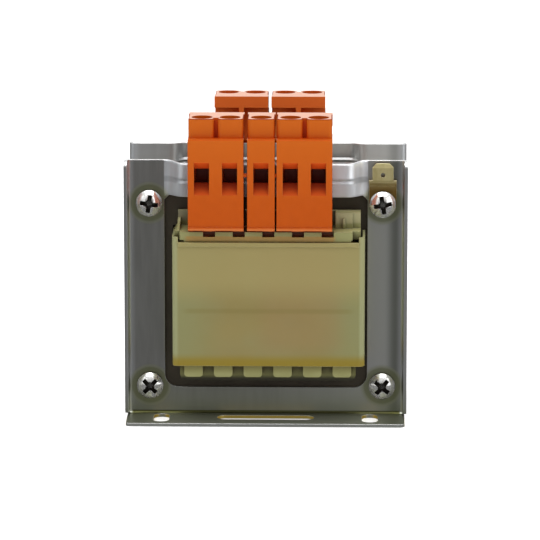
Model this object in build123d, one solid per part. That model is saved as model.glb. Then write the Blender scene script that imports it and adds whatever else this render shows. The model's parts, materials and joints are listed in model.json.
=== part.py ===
"""Open-frame control transformer: interleaved core, two pressed brackets and screw terminals.

The model is drawn about the centre of the core: X to the right, Y from front to rear, Z up.
Each saved piece is then lifted, so that the undersides of the feet lie at Z = 0.
Heights named ``*_z`` are measured from the core centre.
Distances named ``*_out`` are measured outward from the mid-plane of the core, on either side.
"""
from build123d import *
import math
import os

# Core of E and I laminations, in millimetres
limb = 14.0
stack = 28.0
pack_count = 7
bolt_hole = 4.8

# Pressed brackets
sheet = 1.0
bracket_side_margin = 0.45
bracket_rise = 6.1
feet_drop = 2.75
flange_depth = 4.2
flange_start = 1.6
bend_inside = 1.0
foot_side_inset = 0.6
foot_depth = 13.3
foot_corner = 1.5
foot_slot_spacing = 62.8
foot_slot_width = 4.8
foot_slot_length = 9.8
foot_slot_offset = 5.9
long_slot_length = 29.2
long_slot_width = 5.4
long_slot_offset = 5.2
window_side_margin = 2.5
window_top_margin = 4.5
window_low_margin = 6.4
bracket_window_radius = 4.0
bracket_window_chamfer = 1.5
bulge = 4.6
bulge_low = 3.6
bulge_top = 4.0
bulge_ramp = 6.5
crease_drop = 5.7
crease_half = 0.7
crease_depth = 0.35
crest_dip = 0.5

# Coil former, windings and covers
leg_clearance = 0.25
former_wall = 1.3
former_flange = 1.6
former_shift = 1.0
former_side_gap = 0.4
former_overhang = 13.2
yoke_gap = 0.4
frame_gap = 0.4
shelf_rise = 0.3
shelf_thickness = 2.45
shelf_end = 1.5
shelf_end_setback = 1.9
shelf_left_excess = 0.6
shelf_skirt = 0.8
skirt_gap = 0.1
skirt_left_inset = 1.2
skirt_right_inset = 0.4
rail_height = 4.5
rail_right_excess = 0.8
rail_wall = 1.6
post_gap = 0.4
post_gap_right = 0.9
post_left_width = 3.0
post_side_width = 2.4
post_depth = 6.2
post_step = 1.0
post_rib = 0.8
post_rib_drop = 1.5
gusset = 0.8
gusset_height = 2.4
shelf_pitch = 8.8
notch_count = 5
notch_width = 3.6
notch_depth = 1.5
tooth_count = 6
tooth_pitch = 8.87
tooth_shift = 0.8
tooth_width = 5.55
tooth_height = 3.4
tooth_depth = 2.6
tooth_corner = 1.0
lower_skirt = 5.0
lower_skirt_wall = 1.2
lower_skirt_corner = 2.0
lower_skirt_inset = 1.3
primary_build = 5.0
secondary_build = 5.0
barrier = 0.5
wrap = 0.35
winding_gap = 0.05
coil_head_gap = 0.7
inner_corner = 1.0
coil_corner = 3.0
cover_wall = 0.7
cover_gap_left = 0.5
cover_gap_right = 2.55
cover_overhang = 13.7
cover_corner = 1.8
cover_lip = 0.45
cover_lip_height = 1.3
cover_rise = 0.1
cover_flap_rise = 1.6
cover_flap_gap = 0.4
flange_overlap = 0.5

# Terminal housings
pole_pitch = 8.3
housing_side_gap = 0.1
body_overhang = 15.2
ledge_height = 28.05
tower_height = 5.8
tower_setback = 2.7
tower_inset = 0.1
tower_corner = 1.2
tower_rim = 0.4
tower_groove = 1.15
tower_groove_depth = 2.4
top_bar_height = 3.5
undercut_depth = 3.6
rib_width = 1.5
housing_gap = 0.3
back_wall = 0.75
entry_width = 4.5
entry_height = 4.3
entry_rise = 14.6
funnel_below = 3.2
funnel_above = 2.3
funnel_depth = 3.2
chimney_bore = 6.2
housing_edge = 0.3
housing_lip = 0.3
housing_lip_height = 0.9
housing_step = 0.85
housing_step_depth = 2.9
spacer_diameter = 1.2
spacer_drop = 10.75
peg_width = 3.0
peg_depth = 2.4
peg_height = 3.0

# Rising clamp of one pole
cage_depth = 4.6
cage_wall = 0.8
cage_floor = 1.1
cage_roof = 1.8
cage_floor_drop = 0.4
cage_travel = 2.5
slide_gap = 0.3
strip = 0.7
strip_width = 3.6
contact_thickness = 0.9
contact_clearance = 0.2
clamp_shank = 3.5
thread_clearance = 0.05
clamp_head = 6.3
clamp_head_height = 2.2
clamp_slot_width = 1.0
clamp_slot_depth = 1.3
tip_gap = 0.1

# Rows of housings from left to right, with the poles in each and the gaps between them
front_pole_counts = {
    "front_left_terminal": 2,
    "front_middle_terminal": 1,
    "front_right_terminal": 2,
}
front_gaps = (0.95, 0.4)
front_middle = -1.45
rear_pole_counts = {
    "rear_left_terminal": 2,
    "rear_right_terminal": 2,
}
rear_gaps = (0.8,)
rear_middle = 0.55

# Core screws, nuts and earth tab
screw_shank = 4.0
screw_head = 8.0
screw_head_height = 3.0
screw_dome = 1.9
recess_length = 5.4
recess_width = 1.3
recess_depth = 1.9
recess_turns = {(-1, 1): 8.0, (1, 1): -10.0, (-1, -1): 45.0, (1, -1): 40.0}
nut_flats = 7.0
nut_height = 3.2
washer_diameter = 9.0
washer_thickness = 0.8
screw_tail = 1.6
tab_thickness = 0.8
tab_width = 6.3
tab_base_width = 8.2
tab_base_top = 5.6
tab_joggle = 2.2
tab_shoulder = 7.4
tab_tip = 12.5
tab_corner = 1.2
tab_bevel = 1.3
tab_bevel_depth = 0.35
tab_hole = 1.4
tab_hole_height = 9.0

# Core, bracket and former sizes that follow from the ones above
core_width = 6 * limb
core_height = 5 * limb
bolt_x = (core_width - limb) / 2
bolt_z = (core_height - limb) / 2
window_half_height = 3 * limb / 2
half_stack = stack / 2
plate_out = half_stack + sheet
bracket_width = core_width + 2 * bracket_side_margin
bracket_top_z = core_height / 2 + bracket_rise
feet_z = -core_height / 2 - feet_drop
foot_width = bracket_width - 2 * foot_side_inset
foot_front_out = plate_out + foot_depth
bracket_window_half = 2 * limb + window_side_margin
bracket_window_top_z = core_height / 2 - window_top_margin
bracket_window_low_z = window_low_margin - core_height / 2
crease_z = bracket_top_z - crease_drop
bar_out = plate_out + bulge
tube_inner = limb + leg_clearance
tube_outer = tube_inner + former_wall
former_half = 2 * limb - former_side_gap
former_out = plate_out + former_overhang
flange_face_z = window_half_height - yoke_gap
coil_low_z = former_flange - flange_face_z
shelf_top_z = window_half_height + yoke_gap + shelf_rise
shelf_low_z = shelf_top_z - shelf_thickness
coil_top_z = shelf_low_z - coil_head_gap
cover_top_z = coil_top_z + cover_rise
rail_top_z = shelf_top_z + rail_height
wall_out = plate_out + frame_gap
flange_out = wall_out + flange_overlap
post_out = wall_out + post_depth
rail_right = former_half + rail_right_excess
shelf_end_out = former_out - shelf_end_setback
tooth_low_z = coil_low_z - tooth_height
coil_half = tube_outer + winding_gap + primary_build + barrier + secondary_build + wrap
cover_left = -(coil_half + cover_gap_left + cover_wall)
cover_right = coil_half + cover_gap_right + cover_wall
cover_out = plate_out + cover_overhang

# Terminal sizes that follow from the ones above
body_out = plate_out + body_overhang
ledge_z = shelf_top_z + ledge_height
tower_top_z = ledge_z + tower_height
tower_out = body_out - tower_setback
undercut_out = plate_out + undercut_depth
housing_back_out = bar_out + housing_gap
tail_back_out = housing_back_out + back_wall
cage_back_out = tail_back_out + strip + slide_gap
axis_out = cage_back_out + cage_depth / 2
cavity_front_out = cage_back_out + cage_depth + slide_gap
cage_width = entry_width + 2 * cage_wall
cavity_width = cage_width + 2 * slide_gap
entry_low_z = shelf_top_z + entry_rise
entry_top_z = entry_low_z + entry_height
contact_low_z = entry_top_z + contact_clearance
contact_top_z = contact_low_z + contact_thickness
cage_roof_low_z = contact_top_z + slide_gap
cage_floor_top_z = entry_low_z - cage_floor_drop
clamp_head_low_z = cage_roof_low_z + cage_roof + cage_travel + slide_gap
clamp_head_top_z = clamp_head_low_z + clamp_head_height
head_room = clamp_head + 2 * slide_gap
chamber_top_z = clamp_head_top_z + slide_gap


def block(x0, x1, out0, out1, z0, z1):
    """Box on the front side, given by its limits along X, outward and along Z."""
    centre = Pos((x0 + x1) / 2, -(out0 + out1) / 2, (z0 + z1) / 2)
    return centre * Box(x1 - x0, out1 - out0, z1 - z0)


def ring(inner, outer, inner_radius, outer_radius, z0, z1):
    """Rectangular tube around the centre limb, with rounded corners."""
    plan = RectangleRounded(2 * outer, 2 * outer, outer_radius)
    plan -= RectangleRounded(2 * inner, 2 * inner, inner_radius)
    return Pos(0, 0, z0) * extrude(plan, z1 - z0)


def pin_along_y(x, z, diameter, out0, out1):
    """Round bar on the front side, square to the bracket."""
    centre = Pos(x, -(out0 + out1) / 2, z)
    return centre * Rot(90, 0, 0) * Cylinder(diameter / 2, out1 - out0)


def pin_along_z(x, out, diameter, z0, z1):
    """Upright round bar on the front side."""
    return Pos(x, -out, (z0 + z1) / 2) * Cylinder(diameter / 2, z1 - z0)


def upright_plate(plan, out0, out1):
    """Sheet on the front side, from an outline drawn as seen from the front."""
    plane = Plane(origin=(0, -out0, 0), x_dir=(1, 0, 0), z_dir=(0, -1, 0))
    return extrude(plane * plan, out1 - out0)


def to_rear(shape):
    """The same shape on the rear side of the core."""
    return mirror(shape, about=Plane.XZ)


def save(name, *shapes):
    """Lift the pieces onto their feet and write them as one node."""
    lifted = [Pos(0, 0, -feet_z) * shape for shape in shapes]
    piece = lifted[0] if len(lifted) == 1 else Compound(children=lifted)
    piece.label = name
    export_step(piece, f"parts/{name}.step")


def bolt_places():
    """Side and height signs of the four core screws."""
    return [(side, level) for side in (-1, 1) for level in (-1, 1)]


def e_pack(start):
    """Pack of E laminations, with its back at the bottom."""
    half = core_width / 2
    low = -core_height / 2
    top = window_half_height
    outline = Polyline(
        (-half, low), (half, low), (half, top), (half - limb, top), (half - limb, -top),
        (limb, -top), (limb, top), (-limb, top), (-limb, -top),
        (limb - half, -top), (limb - half, top), (-half, top), close=True)
    plan = make_face(outline)
    plan -= Locations((-bolt_x, -bolt_z), (bolt_x, -bolt_z)) * Circle(bolt_hole / 2)
    return upright_plate(plan, start, start + stack / pack_count)


def i_pack(start):
    """Pack of I laminations that closes an E pack at the top."""
    plan = Pos(0, window_half_height + limb / 2) * Rectangle(core_width, limb)
    plan -= Locations((-bolt_x, bolt_z), (bolt_x, bolt_z)) * Circle(bolt_hole / 2)
    return upright_plate(plan, start, start + stack / pack_count)


def core_packs(make_pack):
    """Packs through the stack, every second one turned over."""
    packs = []
    for index in range(pack_count):
        pack = make_pack(-half_stack + index * stack / pack_count)
        if index % 2:
            pack = mirror(pack, about=Plane.XY)
        packs.append(pack)
    return packs


def ramp(start, end):
    """S-shaped curve that leaves and arrives along X."""
    return Spline(start, end, tangents=((1, 0), (1, 0)))


def bulge_section(z, depth):
    """Plan section of the pressed bar between the sides of the window."""
    end = bracket_window_half
    flat = end - bulge_ramp
    lines = []
    for face_out in (plate_out, half_stack):
        crest = -(face_out + depth)
        lines.append(ramp((-end, -face_out), (-flat, crest)))
        lines.append(Line((-flat, crest), (flat, crest)))
        lines.append(ramp((flat, crest), (end, -face_out)))
    lines.append(Line((-end, -plate_out), (-end, -half_stack)))
    lines.append(Line((end, -plate_out), (end, -half_stack)))
    return Pos(0, 0, z) * make_face(lines)


def crest_cut():
    """Cutter for the shallow dip of the upper edge over the pressed bar."""
    end = bracket_window_half
    flat = end - bulge_ramp
    high = bracket_top_z + 0.02
    low = bracket_top_z - crest_dip
    lines = [
        ramp((-end, high), (-flat, low)), Line((-flat, low), (flat, low)),
        ramp((flat, low), (end, high)), Line((end, high), (end, high + sheet)),
        Line((end, high + sheet), (-end, high + sheet)), Line((-end, high + sheet), (-end, high)),
    ]
    return upright_plate(make_face(lines), 0, bar_out + sheet)


def bracket_window():
    """Outline of the opening for the coil, as seen from the front."""
    half = bracket_window_half
    cut = bracket_window_chamfer
    low = bracket_window_low_z
    top = bracket_window_top_z
    outline = Polyline(
        (-half, low), (half, low), (half, top - cut), (half - cut, top),
        (cut - half, top), (-half, top - cut), close=True)
    plan = make_face(outline)
    corners = plan.vertices().sort_by(Axis.Y)[:2]
    return fillet(corners, bracket_window_radius)


def foot():
    """Foot bent outward from the lower edge of the plate, with its slots."""
    heel = bend_inside + sheet
    outline = Polyline(
        (half_stack, feet_z), (foot_front_out, feet_z), (foot_front_out, feet_z + sheet),
        (plate_out, feet_z + sheet), (plate_out, feet_z + 3 * heel),
        (half_stack, feet_z + 3 * heel), close=True)
    profile = make_face(outline)
    inside = profile.vertices().sort_by_distance((plate_out, feet_z + sheet))[0]
    profile = fillet(inside, bend_inside)
    outside = profile.vertices().sort_by_distance((half_stack, feet_z))[0]
    profile = fillet(outside, heel)
    plane = Plane(origin=(-foot_width / 2, 0, 0), x_dir=(0, -1, 0), z_dir=(-1, 0, 0))
    leg = extrude(plane * profile, -foot_width)
    corners = leg.edges().filter_by(Axis.Z).sort_by(Axis.Y)[:2]
    leg = fillet(corners, foot_corner)
    deep = 3 * sheet
    for side in (-1, 1):
        slot = Rot(0, 0, 90) * SlotOverall(foot_slot_length, foot_slot_width)
        place = Pos(side * foot_slot_spacing / 2, -(plate_out + foot_slot_offset), feet_z - sheet)
        leg -= extrude(place * slot, deep)
    long_slot = SlotOverall(long_slot_length, long_slot_width)
    leg -= extrude(Pos(0, -(plate_out + long_slot_offset), feet_z - sheet) * long_slot, deep)
    return leg


def bracket():
    """Front bracket: plate with window, side flanges, pressed bar and foot."""
    half = bracket_width / 2
    edge_out = plate_out + flange_depth
    channel_low = feet_z + flange_start
    outline = Polyline(
        (-half, -edge_out), (sheet - half, -edge_out), (sheet - half, -plate_out),
        (half - sheet, -plate_out), (half - sheet, -edge_out), (half, -edge_out),
        (half, -half_stack), (-half, -half_stack), close=True)
    channel = extrude(Pos(0, 0, channel_low) * make_face(outline), bracket_top_z - channel_low)
    uprights = channel.edges().filter_by(Axis.Z)
    channel = fillet(uprights.filter_by_position(Axis.Y, -half_stack, -half_stack), 1.6 * sheet)
    uprights = channel.edges().filter_by(Axis.Z)
    inner = [e for e in uprights if abs(e.center().Y + plate_out) < 0.01]
    inner = [e for e in inner if abs(abs(e.center().X) - half + sheet) < 0.01]
    channel = fillet(inner, bend_inside)
    ends = channel.edges().filter_by(Axis.X)
    ends = [e for e in ends if abs(e.center().Y + edge_out) < 0.01]
    channel = fillet(ends, 0.45 * flange_depth)
    plate = channel + foot()
    span = bracket_window_half
    plate -= block(-span, span, 0, edge_out, bracket_window_top_z, bracket_top_z + sheet)
    plate -= upright_plate(bracket_window(), 0, edge_out)
    sections = [
        bulge_section(bracket_window_top_z, bulge_low),
        bulge_section(crease_z - crease_half, bulge),
        bulge_section(crease_z, bulge - crease_depth),
        bulge_section(crease_z + crease_half, bulge),
        bulge_section(bracket_top_z, bulge_top),
    ]
    plate += loft(sections, ruled=True)
    plate -= crest_cut()
    for side, level in bolt_places():
        plate -= pin_along_y(side * bolt_x, level * bolt_z, bolt_hole, 0, edge_out)
    return plate


def row_layout(counts, gaps, middle):
    """Places along X of the poles of each housing in one row."""
    start = middle - (sum(counts.values()) * pole_pitch + sum(gaps)) / 2
    row = {}
    for (name, count), gap in zip(counts.items(), (*gaps, 0)):
        row[name] = [start + (index + 0.5) * pole_pitch for index in range(count)]
        start += count * pole_pitch + gap
    return row


front_row = row_layout(front_pole_counts, front_gaps, front_middle)
rear_row = row_layout(rear_pole_counts, rear_gaps, rear_middle)
row_left = min(min(poles) for poles in front_row.values()) - pole_pitch / 2
row_right = max(max(poles) for poles in front_row.values()) + pole_pitch / 2
rail_left = row_left - post_gap - post_left_width


def former_end(row):
    """Shelf, rail, posts, locating pegs and lower teeth of the former, on the front side."""
    shelf_left = rail_left - shelf_left_excess
    middle = rail_right - post_side_width
    end = block(shelf_left, rail_right, wall_out, shelf_end_out, shelf_low_z, shelf_top_z)
    end += block(shelf_left + shelf_end, middle, wall_out, former_out, shelf_low_z, shelf_top_z)
    end += block(shelf_left + shelf_end + skirt_left_inset, middle - skirt_right_inset,
                 former_out - shelf_skirt, former_out, cover_top_z + skirt_gap, shelf_top_z)
    end += block(rail_left, rail_right, wall_out, wall_out + rail_wall, shelf_low_z, rail_top_z)
    right_end = row_right + post_gap_right
    end += block(right_end, middle, wall_out, post_out, shelf_low_z, rail_top_z)
    end += block(middle, rail_right, wall_out, post_out - post_step, shelf_low_z, rail_top_z)
    rib_x = (right_end + middle) / 2
    end += block(rib_x - post_rib / 2, rib_x + post_rib / 2, wall_out, post_out + post_rib,
                 shelf_low_z, rail_top_z - post_rib_drop)
    web = make_face(Polyline(
        (wall_out, shelf_low_z), (shelf_end_out, shelf_low_z), (shelf_end_out, shelf_top_z),
        (wall_out + rail_wall, shelf_top_z + gusset_height),
        (wall_out, shelf_top_z + gusset_height), close=True))
    side = Plane(origin=(rail_left, 0, 0), x_dir=(0, -1, 0), z_dir=(-1, 0, 0))
    end += extrude(side * web, -gusset)
    for index in range(notch_count):
        x = former_shift + (index - (notch_count - 1) / 2) * shelf_pitch
        low = shelf_top_z - notch_depth
        end -= block(x - notch_width / 2, x + notch_width / 2, former_out - 2, former_out + 1,
                     low, shelf_top_z + 0.01)
    slot_half = strip_width / 2 + slide_gap
    for x in [x for poles in row.values() for x in poles]:
        slot_back = tail_back_out - slide_gap / 2
        slot_front = tail_back_out + strip + slide_gap / 2
        end -= block(x - slot_half, x + slot_half, slot_back, slot_front,
                     shelf_low_z - 1, shelf_top_z + 1)
        end += block(x - peg_width / 2, x + peg_width / 2, axis_out - peg_depth / 2,
                     axis_out + peg_depth / 2, shelf_low_z, shelf_top_z + peg_height)
    skirt_out = former_out - tooth_depth
    skirt_low = coil_low_z - lower_skirt
    skirt_half = former_half - lower_skirt_inset
    skirt_left = tooth_shift - skirt_half
    skirt_right = tooth_shift + skirt_half
    skirt = block(skirt_left, skirt_right, wall_out, skirt_out, skirt_low, coil_low_z)
    skirt = fillet(skirt.edges().filter_by(Axis.Y).sort_by(Axis.Z)[:2], lower_skirt_corner)
    wall = lower_skirt_wall
    end += skirt - block(skirt_left + wall, skirt_right - wall, 0, skirt_out - wall,
                         skirt_low - 1, coil_low_z - wall)
    for index in range(tooth_count):
        x = tooth_shift + (index - (tooth_count - 1) / 2) * tooth_pitch
        tooth = block(x - tooth_width / 2, x + tooth_width / 2, skirt_out - wall, former_out,
                      tooth_low_z, coil_low_z)
        end += fillet(tooth.edges().filter_by(Axis.Y).sort_by(Axis.Z)[:2], tooth_corner)
    return end


def coil_former():
    """One moulding: tube on the centre limb, two flanges and both terminal rails."""
    former = ring(tube_inner, tube_outer, 0.5, inner_corner, -flange_face_z, flange_face_z)
    for z0 in (-flange_face_z, flange_face_z - former_flange):
        flange = block(-former_half, former_half, -flange_out, flange_out, z0, z0 + former_flange)
        flange -= block(-tube_inner, tube_inner, -tube_inner, tube_inner, z0 - 1, z0 + 3)
        former += flange
    hollow = block(-tube_inner, tube_inner, -tube_inner, tube_inner, -core_height, core_height)
    ends = former_end(front_row) + to_rear(former_end(rear_row))
    return former + (ends - hollow)


def coil_cover():
    """Translucent cover over the part of the coil that stands out of the bracket."""
    top = cover_top_z
    flap_top = top + cover_flap_rise
    outer = block(cover_left, cover_right, wall_out, cover_out, coil_low_z, flap_top)
    outer = fillet(outer.edges().filter_by(Axis.Z).sort_by(Axis.Y)[:2], cover_corner)
    inner = block(cover_left + cover_wall, cover_right - cover_wall, 0, cover_out - cover_wall,
                  coil_low_z - 1, flap_top + 1)
    inner_radius = cover_corner - cover_wall
    inner = fillet(inner.edges().filter_by(Axis.Z).sort_by(Axis.Y)[:2], inner_radius)
    lip_left = cover_left + cover_corner
    lip_right = cover_right - cover_corner
    lip = block(lip_left, lip_right, cover_out - cover_wall, cover_out + cover_lip,
                top - cover_lip_height, top)
    lip = fillet(lip.edges().filter_by(Axis.X).sort_by(Axis.Y)[:2], 0.2)
    shell = outer + lip - inner
    shell -= block(lip_left, lip_right, 0, cover_out + 1, top, flap_top + 1)
    flap_start = flange_out + cover_flap_gap
    return shell - block(cover_left - 1, cover_right + 1, 0, flap_start, top, flap_top + 1)


def funnel(x):
    """Cutter for one wire entry: a square hole that flares toward the outer face."""
    throat_out = body_out - funnel_depth
    outline = Polyline(
        (cavity_front_out - 0.5, entry_low_z), (throat_out, entry_low_z),
        (body_out, entry_low_z - funnel_below), (body_out, entry_top_z + funnel_above),
        (throat_out, entry_top_z), (cavity_front_out - 0.5, entry_top_z), close=True)
    plane = Plane(origin=(x - entry_width / 2, 0, 0), x_dir=(0, -1, 0), z_dir=(-1, 0, 0))
    return extrude(plane * make_face(outline), -entry_width)


def housing(poles, gap):
    """Moulded terminal housing for one or two poles, on the front side."""
    left = poles[0] - pole_pitch / 2 + housing_side_gap / 2
    right = poles[-1] + pole_pitch / 2 - housing_side_gap / 2
    step_z = bracket_top_z + housing_gap
    bar_low = tower_top_z - top_bar_height
    body = block(left, right, housing_back_out, body_out, shelf_top_z, ledge_z)
    corners = body.edges().filter_by(Axis.Z).sort_by(Axis.Y)[:2]
    body = fillet(corners + body.faces().sort_by(Axis.Z)[-1].edges().sort_by(Axis.Y)[:1],
                  housing_edge)
    raised_z = shelf_top_z + housing_step
    body += block(left, right, body_out - 1, body_out + housing_lip, shelf_top_z,
                  raised_z + housing_lip_height)
    body -= block(left - 1, right + 1, body_out - housing_step_depth, body_out + 1,
                  shelf_top_z - 1, raised_z)
    body += block(left, right, undercut_out, housing_back_out, step_z, ledge_z)
    left += tower_inset
    right -= tower_inset
    crown = block(left, right, undercut_out, tower_out, ledge_z, tower_top_z)
    for x in poles[1:]:
        middle = x - pole_pitch / 2
        crown -= block(middle - tower_groove / 2, middle + tower_groove / 2,
                       tower_out - tower_groove_depth, tower_out + 1, ledge_z, tower_top_z)
        crown += block(middle - rib_width / 2, middle + rib_width / 2, plate_out,
                       undercut_out, step_z, tower_top_z)
    corners = crown.edges().filter_by(Axis.Z)
    crown = fillet(corners.filter_by_position(Axis.Y, -tower_out - 0.01, 0.01 - tower_out),
                   tower_corner)
    rim = crown.faces().sort_by(Axis.Z)[-1].edges().filter_by(Axis.X)
    crown = fillet(rim.filter_by_position(Axis.Y, -tower_out - 0.01, 0.01 - tower_out), tower_rim)
    left -= tower_inset
    right += tower_inset
    body += crown + block(left, right, plate_out, undercut_out, bar_low, tower_top_z)
    if gap:
        spacer = Rot(0, 90, 0) * Cylinder(spacer_diameter / 2, gap + 1)
        body += Pos(right + (gap - 1) / 2, -(body_out - spacer_diameter),
                    ledge_z - spacer_drop) * spacer
    for x in poles:
        half = cavity_width / 2
        roof = clamp_head_low_z - slide_gap / 2
        body -= block(x - half, x + half, tail_back_out, cavity_front_out,
                      shelf_top_z - 1, roof)
        body -= pin_along_z(x, axis_out, head_room, roof - 0.1, chamber_top_z)
        body -= pin_along_z(x, axis_out, chimney_bore, chamber_top_z - 0.1, tower_top_z + 1)
        body -= funnel(x)
    return body


def clamp_cage(x):
    """Rising cage of one pole, in its lowest place, with the wire way open."""
    low = cage_floor_top_z - cage_floor
    top = cage_roof_low_z + cage_roof
    half = cage_width / 2
    front = cage_back_out + cage_depth
    cage = block(x - half, x + half, cage_back_out, front, low, top)
    cage -= block(x - half + cage_wall, x + half - cage_wall, cage_back_out - 1, front + 1,
                  cage_floor_top_z, cage_roof_low_z)
    bore = clamp_shank + 2 * thread_clearance
    return cage - pin_along_z(x, axis_out, bore, cage_roof_low_z - 1, top + 1)


def clamp_screw(x):
    """Slotted clamp screw of one pole, standing on the contact strip."""
    screw = pin_along_z(x, axis_out, clamp_shank, contact_top_z + tip_gap, clamp_head_low_z)
    head = pin_along_z(x, axis_out, clamp_head, clamp_head_low_z, clamp_head_top_z)
    screw += chamfer(head.edges().filter_by(GeomType.CIRCLE).sort_by(Axis.Z)[-1], 0.3)
    half = clamp_slot_width / 2
    return screw - block(x - clamp_head, x + clamp_head, axis_out - half, axis_out + half,
                         clamp_head_top_z - clamp_slot_depth, clamp_head_top_z + 1)


def contact_strip(x):
    """Contact bar through the cage, with a solder tail down to the coil."""
    half = strip_width / 2
    tail_front = tail_back_out + strip
    front = cage_back_out + cage_depth
    bar = block(x - half, x + half, tail_back_out, front, contact_low_z, contact_top_z)
    tail = block(x - half, x + half, tail_back_out, tail_front, shelf_low_z, contact_top_z)
    return bar + tail


def core_screw(side, level):
    """Pan-head screw with a cross recess, seated on the bracket or on the earth tab."""
    seat = plate_out
    if (side, level) == (1, 1):
        seat += tab_thickness
    x = side * bolt_x
    z = level * bolt_z
    end = plate_out + washer_thickness + nut_height + screw_tail
    shank = Pos(x, (end - seat) / 2, z) * Rot(90, 0, 0) * Cylinder(screw_shank / 2, end + seat)
    head = pin_along_y(x, z, screw_head, seat, seat + screw_head_height)
    face = seat + screw_head_height
    dome = ((screw_head / 2) ** 2 + screw_dome ** 2) / (2 * screw_dome)
    head &= Pos(x, dome - face, z) * Sphere(dome)
    recess = Cone(recess_width / 2, recess_length / 3, recess_depth + 0.6)
    recess = Rot(90, 0, 0) * recess
    recess += Box(recess_length, recess_depth + 0.6, recess_width)
    recess += Box(recess_width, recess_depth + 0.6, recess_length)
    recess = Rot(0, recess_turns[(side, level)], 0) * recess
    return shank + head - Pos(x, -(face - (recess_depth - 0.6) / 2), z) * recess


def core_nut(side, level):
    """Hexagon nut on the rear end of a core screw, threaded bore as its root size."""
    plan = RegularPolygon(nut_flats / 2, 6, major_radius=False) - Circle(screw_shank / 2)
    start = plate_out + washer_thickness
    nut = upright_plate(Pos(side * bolt_x, level * bolt_z) * plan, start, start + nut_height)
    return to_rear(nut)


def core_washer(side, level):
    """Plain washer between a nut and the rear bracket."""
    plan = Circle(washer_diameter / 2) - Circle(bolt_hole / 2)
    plan = Pos(side * bolt_x, level * bolt_z) * plan
    return to_rear(upright_plate(plan, plate_out, plate_out + washer_thickness))


def earth_tab():
    """Push-on earth tab under the upper right core screw, stepped off the bracket."""
    half = tab_width / 2
    base_half = tab_base_width / 2
    flat_end = tab_base_top
    step_end = flat_end + tab_joggle / 2
    outline = Polyline(
        (plate_out, -base_half), (plate_out + tab_thickness, -base_half),
        (plate_out + tab_thickness, flat_end), (plate_out + tab_joggle, step_end),
        (plate_out + tab_joggle, tab_tip - tab_bevel),
        (plate_out + tab_joggle - tab_bevel_depth, tab_tip),
        (plate_out + tab_joggle - tab_thickness, tab_tip),
        (plate_out + tab_joggle - tab_thickness, step_end + 0.3),
        (plate_out, flat_end + 0.3), close=True)
    plane = Plane(origin=(-base_half, 0, 0), x_dir=(0, -1, 0), z_dir=(-1, 0, 0))
    strip_solid = extrude(plane * make_face(outline), -tab_base_width)
    front = Polyline(
        (-base_half, tab_shoulder), (-half, tab_shoulder), (-half, tab_tip - tab_corner),
        (tab_corner - half, tab_tip), (half - tab_corner, tab_tip), (half, tab_tip - tab_corner),
        (half, tab_shoulder), (base_half, tab_shoulder), (base_half, 0), (-base_half, 0),
        close=True)
    plan = make_face(front) + Circle(base_half)
    plan -= Circle(bolt_hole / 2 - 0.2)
    plan -= Pos(0, tab_hole_height) * Circle(tab_hole / 2)
    blank = upright_plate(plan, plate_out, plate_out + tab_joggle)
    return Pos(bolt_x, 0, bolt_z) * (strip_solid & blank)


save("front_bracket", bracket())
save("rear_bracket", to_rear(bracket()))
save("e_laminations", *core_packs(e_pack))
save("i_laminations", *core_packs(i_pack))
save("coil_former", coil_former())


# The coil is built up from the former outward, one layer on the next
inner = tube_outer + winding_gap
radius = inner_corner
for name, build in (("primary_winding", primary_build), ("winding_barrier", barrier),
                    ("secondary_winding", secondary_build), ("outer_wrap", wrap)):
    save(name, ring(inner, inner + build, radius, coil_corner, coil_low_z, coil_top_z))
    inner += build
    radius = coil_corner
save("front_cover", coil_cover())
save("rear_cover", to_rear(coil_cover()))

strips = []
pole_number = 0
for row, gaps, place in ((front_row, front_gaps, lambda shape: shape),
                         (rear_row, rear_gaps, to_rear)):
    for (name, poles), gap in zip(row.items(), (*gaps, 0)):
        save(name, place(housing(poles, gap)))
        for x in poles:
            pole_number += 1
            save(f"clamp_cage_{pole_number}", place(clamp_cage(x)))
            save(f"clamp_screw_{pole_number}", place(clamp_screw(x)))
            strips.append(place(contact_strip(x)))
save("contact_strips", *strips)

save("core_screws", *[core_screw(*place) for place in bolt_places()])
save("core_nuts", *[core_nut(*place) for place in bolt_places()])
save("core_washers", *[core_washer(*place) for place in bolt_places()])
save("earth_tab", earth_tab())
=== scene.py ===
"""Looks of the open-frame control transformer: camera, light, finishes and fine detail.

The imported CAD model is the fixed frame. This script gives every node a procedural
finish, adds the fine threads that the solids leave out, and sets up a plain studio.
All lengths are in metres, in the frame of the CAD model.
"""
from __future__ import annotations

import json
import logging
import math
from dataclasses import dataclass
from enum import Enum
from typing import Iterable, Sequence

import bmesh
import bpy
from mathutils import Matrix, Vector

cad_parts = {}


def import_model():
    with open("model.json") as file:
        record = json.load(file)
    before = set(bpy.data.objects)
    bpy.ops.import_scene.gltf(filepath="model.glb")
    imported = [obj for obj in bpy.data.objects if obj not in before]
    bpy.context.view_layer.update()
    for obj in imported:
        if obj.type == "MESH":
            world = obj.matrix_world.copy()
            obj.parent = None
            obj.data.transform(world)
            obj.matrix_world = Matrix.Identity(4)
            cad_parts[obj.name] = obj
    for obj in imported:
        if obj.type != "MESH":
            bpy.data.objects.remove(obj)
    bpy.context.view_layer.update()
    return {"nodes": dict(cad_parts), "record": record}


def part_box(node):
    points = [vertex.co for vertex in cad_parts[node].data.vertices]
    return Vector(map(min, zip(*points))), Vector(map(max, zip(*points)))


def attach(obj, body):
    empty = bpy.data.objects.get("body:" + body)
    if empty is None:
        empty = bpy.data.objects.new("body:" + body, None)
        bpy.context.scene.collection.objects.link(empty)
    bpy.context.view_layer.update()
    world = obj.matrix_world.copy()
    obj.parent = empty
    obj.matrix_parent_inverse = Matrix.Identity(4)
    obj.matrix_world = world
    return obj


log = logging.getLogger("transformer_scene")

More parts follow.
